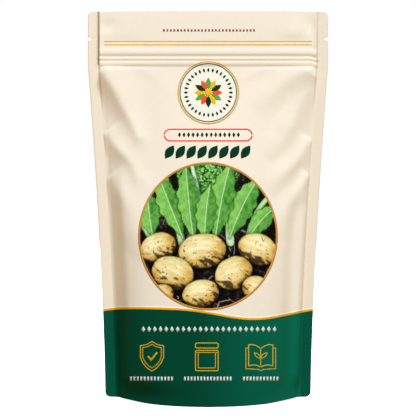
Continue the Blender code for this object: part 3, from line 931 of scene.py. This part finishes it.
def paintTuber(paint, x, z, atX, atZ, long, wide, turn):
    # a round-lit body with a streaked skin, its shadow on the soil, and earth that clings to its lower side
    u = ((x - atX) * np.cos(turn) + (z - atZ) * np.sin(turn)) / long
    v = (-(x - atX) * np.sin(turn) + (z - atZ) * np.cos(turn)) / wide
    reach = np.hypot(u, v) + 0.05 * (grain(x, z, 3.5, 9) - 0.5)
    edge = (reach - 1) * wide
    lay(paint, (1 - easeStep(-0.1, 2.6, edge + 0.8 * (z - atZ) / wide)) * 0.9, "#060505")
    up = np.sqrt(np.maximum(0, 1 - np.minimum(reach, 1) ** 2))
    skin = grain(u * 4, v * 13 + 2 * u ** 2, 1.0, 10)
    lit = 0.66 * up + 0.34 * v - 0.12 * u + 0.16 + 0.30 * (skin - 0.5) + 0.2 * (grain(x, z, 4.0, 11) - 0.5)
    tone = np.where(lit[:, None] < 0.5, tones("#7A4A1A", "#DDB458", 2 * lit),
                    tones("#DDB458", "#FFF2B8", 2 * lit - 1))
    body = 1 - easeStep(-0.3, 0.1, edge)
    lay(paint, body, tone)
    lay(paint, body * easeStep(0.55, 0.95, v) * 0.35, "#A9BF6A")
    low = np.clip(0.42 - 0.6 * v - 0.3 * up, 0, 1)
    specks = easeStep(0.80, 0.88, grain(x, z, 0.7, 12) + 0.12 * low)
    patchy = easeStep(0.35, 0.7, grain(x, z, 3.4, 13) + 0.4 * low)
    lay(paint, body * specks * patchy * 0.85, "#33231A")
    lay(paint, body * easeStep(0.62, 0.82, grain(x + z, z, 1.9, 14) * 0.7 + 0.62 * low) * 0.9, "#1C1411")


def paintPicture(x, z):
    # colours of the round picture, painted from the back to the front
    paint = np.zeros((len(x), 3))
    paintSoil(paint, x, z)
    paintFoliage(paint, x, z)
    for stem in picture["stems"]:
        paintStem(paint, x, z, *stem)
    for leaf in picture["leaves"]:
        paintLeaf(paint, x, z, *leaf)
    for tuber in picture["tubers"]:
        paintTuber(paint, x, z, *tuber)
    return np.clip(paint, 0, 1)


def makePicture():
    # the painted disc and its bronze rim
    centre, radii = picture["centre"], np.array(picture["radii"])
    material, tree, shader = startMaterial("printed picture", laminate["roughness"], laminate["ior"])
    finishLaminate(tree, shader, addNode(tree, "Attribute", attribute_name="paint").outputs["Color"])
    outline = ovalPath(centre, radii, picture["corners"])
    disc, flat = makeInk("pictureDisc", [filled(outline, picture["cells"])], material, lift=picture["lift"])
    paint = np.ones((len(flat), 4), np.float32)
    paint[:, :3] = paintPicture(flat[:, 0] - centre[0], flat[:, 1] - centre[1])
    disc.data.color_attributes.new("paint", "FLOAT_COLOR", "POINT").data.foreach_set("color", paint.ravel())
    rimPath = ovalPath(centre, radii + picture["rimOut"], picture["rimCorners"])
    makeInk("pictureRim", [ribbon(rimPath, picture["rim"], True)], ink["bronze"], lift=picture["rimLift"])


roundel = dict(
    centre=(0.2, 166.0),
    field=(16.2, 16.6), outer=(16.3, 16.74), outerRim=0.72, inner=(15.3, 15.72), innerRim=0.6,
    beads=32, bead=(11.0, 13.4, 1.25),  # from the middle, to, and width
    petals=12, petalFrom=1.6, petalWidth=2.9,
    petalInks=(("midGreen", 8.2), ("orange", 7.6), ("darkGreen", 8.2), ("gold", 7.6)),  # and how far out
    heart=1.9,
    fieldLift=0.07, leafLift=0.1, heartLift=0.12, rimLift=0.13,
)


def leavesAround(count, near, far, width):
    # leaf shapes that point outwards, evenly spaced round the roundel's middle
    x, z = roundel["centre"]
    leaf = leafPath((x, z + near), (x, z + far), width)
    angles = np.linspace(0, 2 * np.pi, count, endpoint=False)
    return [turned(leaf, (x, z), angle) for angle in angles]


def makeRoundel():
    # a pale field with two rims, a ring of beads and a flower of petals in four inks
    centre = roundel["centre"]
    makeInk("roundelField", [filled(ovalPath(centre, roundel["field"], 180), 90)], ink["fieldCream"],
            lift=roundel["fieldLift"])
    for name, side, colour in (("roundelRims", "outer", "ringGold"), ("roundelInnerRim", "inner", "teal")):
        rim = ribbon(ovalPath(centre, roundel[side], 240), roundel[side + "Rim"], True)
        makeInk(name, [rim], ink[colour], lift=roundel["rimLift"])
    beads = leavesAround(roundel["beads"], *roundel["bead"])
    makeInk("roundelBeads", [filled(path) for path in beads], ink["darkGreen"], lift=roundel["leafLift"])
    kinds = len(roundel["petalInks"])
    for start, (colour, reach) in enumerate(roundel["petalInks"]):
        petals = leavesAround(roundel["petals"], roundel["petalFrom"], reach, roundel["petalWidth"])
        makeInk("roundelPetals" + str(start), [filled(path, 6) for path in petals[start::kinds]], ink[colour],
                lift=roundel["leafLift"])
    heart = ovalPath(centre, (roundel["heart"], roundel["heart"]), 32)
    makeInk("roundelHeart", [filled(heart, 4)], ink["gold"], lift=roundel["heartLift"])


seedCoat = dict(roughness=0.68, middle="#6B4530", edge="#3E261A", pitSize=0.4, pitDepth=0.05)


def makeSeedMaterial():
    # dry brown seed coats: matt and finely pitted, with painted shade that makes them darker towards the edge
    # of each grain-sized cell
    material, tree, shader = startMaterial("dry seed coat", seedCoat["roughness"])
    place = addNode(tree, "TexCoord").outputs["Object"]
    spots = addNode(tree, "TexVoronoi", {"Vector": place, "Scale": 1 / (seeds["size"] * mm)})
    # painted shade: darker towards the cell edges, where grains meet
    tone = addNode(tree, "Mix", {0: spots.outputs["Distance"], 6: linear(seedCoat["middle"]),
                                 7: linear(seedCoat["edge"])}, data_type="RGBA")
    tree.links.new(tone.outputs[2], shader.inputs["Base Color"])
    pits = addNode(tree, "TexNoise", {"Vector": place, "Scale": 1 / (seedCoat["pitSize"] * mm),
                                      "Detail": 2.0})
    bump = addNode(tree, "Bump", {"Height": pits.outputs["Fac"], "Strength": 0.6,
                                  "Distance": seedCoat["pitDepth"] * mm})
    tree.links.new(bump.outputs["Normal"], shader.inputs["Normal"])
    return material


zipPlastic = dict(
    roughness=0.38, milky="#E9E7DF", clearer="#F6F4EE",
    lineSpacing=0.25, lineDepth=0.01, lineStretch=0.04,  # the draw lines, stretched out along the strip
    glow=0.15, glowReach=1.0,
)


def giveZipFinish():
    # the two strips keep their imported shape: milky polyethylene, drawn through a die, so that it has a soft
    # gloss, faint lines along it, and a little light inside
    material, tree, shader = startMaterial("milky polyethylene zip", zipPlastic["roughness"])
    place = addNode(tree, "TexCoord").outputs["Object"]
    stretched = addNode(tree, "Mapping", {"Vector": place, "Scale": (zipPlastic["lineStretch"], 1, 1)})
    lines = addNode(tree, "TexNoise", {"Vector": stretched.outputs["Vector"],
                                       "Scale": 1 / (zipPlastic["lineSpacing"] * mm), "Detail": 2.0})
    tone = addNode(tree, "Mix", {0: lines.outputs["Fac"], 6: linear(zipPlastic["milky"]),
                                 7: linear(zipPlastic["clearer"])}, data_type="RGBA")
    tree.links.new(tone.outputs[2], shader.inputs["Base Color"])
    bump = addNode(tree, "Bump", {"Height": lines.outputs["Fac"], "Strength": 0.4,
                                  "Distance": zipPlastic["lineDepth"] * mm})
    tree.links.new(bump.outputs["Normal"], shader.inputs["Normal"])
    shader.inputs["Subsurface Weight"].default_value = zipPlastic["glow"]
    shader.inputs["Subsurface Radius"].default_value = (zipPlastic["glowReach"] * mm,) * 3
    for name in ("zip_groove_strip", "zip_tongue_strip"):
        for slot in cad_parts[name].material_slots:
            slot.material = material


# Camera and studio

def makeCamera():
    camera = bpy.data.cameras.new("camera")
    camera.sensor_width = 36.0
    camera.lens = camera.sensor_width * eye["distance"] / eye["frameWidth"]
    holder = bpy.data.objects.new("camera", camera)
    holder.location = (0, -eye["distance"] * mm, eye["height"] * mm)
    holder.rotation_euler = (np.pi / 2, 0, 0)
    bpy.context.scene.collection.objects.link(holder)
    bpy.context.scene.camera = holder


studio = dict(
    keyPlace=(0.42, -2.05, 2.24), keySize=1.1, keyPower=107.0, keyColour="#CEE2FF",
    backPlace=(-0.9, 1.8, 1.9), backPower=86.0,
    aim=(0, 0, 0.11),
    fill=0.56, fillLow=0.415, fillFrom=(0.45, -0.90, 0.10), fillSpan=(-0.4, 1.0), fillColour="#FFE9C5",
    floorSize=6.0, floorTone=(0.92, 0.96), floorGrain=900.0, glow=0.9,
)


def addLight(name, place, power):
    # a square soft box that looks at the pouch
    light = bpy.data.lights.new(name, "AREA")
    light.shape = "SQUARE"
    light.size = studio["keySize"]
    light.energy = power
    light.color = linear(studio["keyColour"])[:3]
    holder = bpy.data.objects.new(name, light)
    holder.location = place
    holder.rotation_euler = (Vector(studio["aim"]) - Vector(place)).to_track_quat("-Z", "Y").to_euler()
    bpy.context.scene.collection.objects.link(holder)


def makeStudio():
    # a soft key light from the front right, a weaker one from behind, and an even warm fill; the eye itself
    # sees white behind the pouch
    world = bpy.data.worlds.new("studio")
    world.use_nodes = True
    tree = world.node_tree
    tree.nodes.clear()
    way = addNode(tree, "TexCoord").outputs["Generated"]
    towards = addNode(tree, "VectorMath", {0: way, 1: Vector(studio["fillFrom"]).normalized()},
                      operation="DOT_PRODUCT")
    low, high = studio["fillSpan"]
    strength = addNode(tree, "MapRange", {"Value": towards.outputs["Value"],
                                          "From Min": low, "From Max": high,
                                          "To Min": studio["fillLow"], "To Max": studio["fill"]})
    fill = addNode(tree, "Background", {"Color": linear(studio["fillColour"]),
                                        "Strength": strength.outputs["Result"]})
    white = addNode(tree, "Background", {"Color": (1, 1, 1, 1), "Strength": 1.0})
    straight = addNode(tree, "LightPath").outputs["Is Camera Ray"]
    mixed = addNode(tree, "MixShader", {0: straight, 1: fill.outputs[0], 2: white.outputs[0]})
    addNode(tree, "OutputWorld", {"Surface": mixed.outputs[0]})
    bpy.context.scene.world = world

    addLight("key light", studio["keyPlace"], studio["keyPower"])
    addLight("back light", studio["backPlace"], studio["backPower"])


def makeTable():
    # white acrylic table, lit from below; it throws no light of its own on the pouch
    material, tree, shader = startMaterial("lit acrylic table", 0.9)
    place = addNode(tree, "TexCoord").outputs["Object"]
    grainy = addNode(tree, "TexNoise", {"Vector": place, "Scale": studio["floorGrain"]})
    low, high = studio["floorTone"]
    tone = addNode(tree, "MapRange", {"Value": grainy.outputs["Fac"], "To Min": low, "To Max": high})
    tree.links.new(tone.outputs["Result"], shader.inputs["Base Color"])
    shader.inputs["Emission Color"].default_value = (1, 1, 1, 1)
    shader.inputs["Emission Strength"].default_value = studio["glow"]
    half = studio["floorSize"] / 2 / mm
    floor = fillMesh("floor", [(-half, -half, 0), (half, -half, 0), (half, half, 0), (-half, half, 0)],
                     [(0, 1, 2, 3)], material)
    floor.visible_diffuse = False
    floor.visible_glossy = False
    floor.visible_shadow = False


# The scene, piece by piece

makeCamera()
makeStudio()
makeTable()
bpy.context.scene.view_settings.view_transform = "Standard"
print("camera and studio in place")

filmMaterial = makeFilmMaterial()
finishPiece(makeWall("frontFilm", -1, filmMaterial), "printed_film", "film_front")
finishPiece(makeWall("backFilm", 1, filmMaterial), "printed_film", "film_back")
finishPiece(makeGusset("gussetFilm", filmMaterial), "gusset_film", "film_gusset")
print("film walls and bottom web done")

finishPiece(makeSeeds("seedHeap", makeSeedMaterial()), "seeds", "seed_fill")
giveZipFinish()
print("seeds and zip strips done")

inkColours = dict(
    gold="#E6B414", ringGold="#EAA30A", iconGold="#CFAA24", bronze="#C98B3C", coral="#F5401A",
    orange="#F0501C", brown="#8F5F49", fieldCream="#F1E6CE",
    darkGreen="#05341F", midGreen="#5E9E3C", paleGreen="#D3DDD3", teal="#2F6E6C",
)
ink = {name: makeInkMaterial(name + " ink", colour) for name, colour in inkColours.items()}

tearLines = dict(heights=(193.77, 191.95), left=-56.1, right=56.3, width=0.54)
for facing, side in ((-1, "front"), (1, "back")):
    lines = [ribbon([(tearLines["left"], height), (tearLines["right"], height)], tearLines["width"])
             for height in tearLines["heights"]]
    makeInk(side + "TearLines", lines, ink["gold"], facing)

brownRow = dict(low=(-24.4, 199.0), high=(25.5, 200.4), count=27, width=1.0, gap=0.75)
makeInk("brownRow", markRow(brownRow, shortBar), ink["brown"])

makeRoundel()

pill = dict(low=(-23.75, 139.85), high=(23.95, 146.15), radius=3.35, line=0.72)
pillPath = roundedPath(pill["low"], pill["high"], pill["radius"])
makeInk("pillOutline", [ribbon(pillPath, pill["line"], True)], ink["coral"])
pillRow = dict(low=(-16.3, 141.7), high=(17.3, 144.6), count=14, width=1.7, gap=0.75)
makeInk("pillRow", markRow(pillRow, lozenge), ink["darkGreen"])

headingRow = dict(low=(-23.3, 130.2), high=(22.8, 137.4), count=8, width=5.0, gap=1.0)
makeInk("headingLeaves", markRow(headingRow, slantLeaf), ink["darkGreen"])

makePicture()
print("print on the cream field done")

taglineRow = dict(low=(-36.1, 36.148), high=(37.2, 39.452), count=24, width=2.1, gap=0.95)
makeInk("taglineRow", markRow(taglineRow, lozenge), ink["paleGreen"])

makeInk("pictograms", makePictograms(), ink["iconGold"])

# a row of short bars under each pictogram, with as many bars as it has room for
captions = dict(low=9.9, high=12.2, spans=((-42.3, -19.0), (-13.0, 12.8), (19.0, 38.2)), width=1.0, gap=0.75)
captionBars = []
for left, right in captions["spans"]:
    row = dict(captions, low=(left, captions["low"]), high=(right, captions["high"]))
    row["count"] = round((right - left) / (captions["width"] + captions["gap"]))
    captionBars += markRow(row, shortBar)
makeInk("captionRows", captionBars, ink["paleGreen"])
print("print on the foot band done")
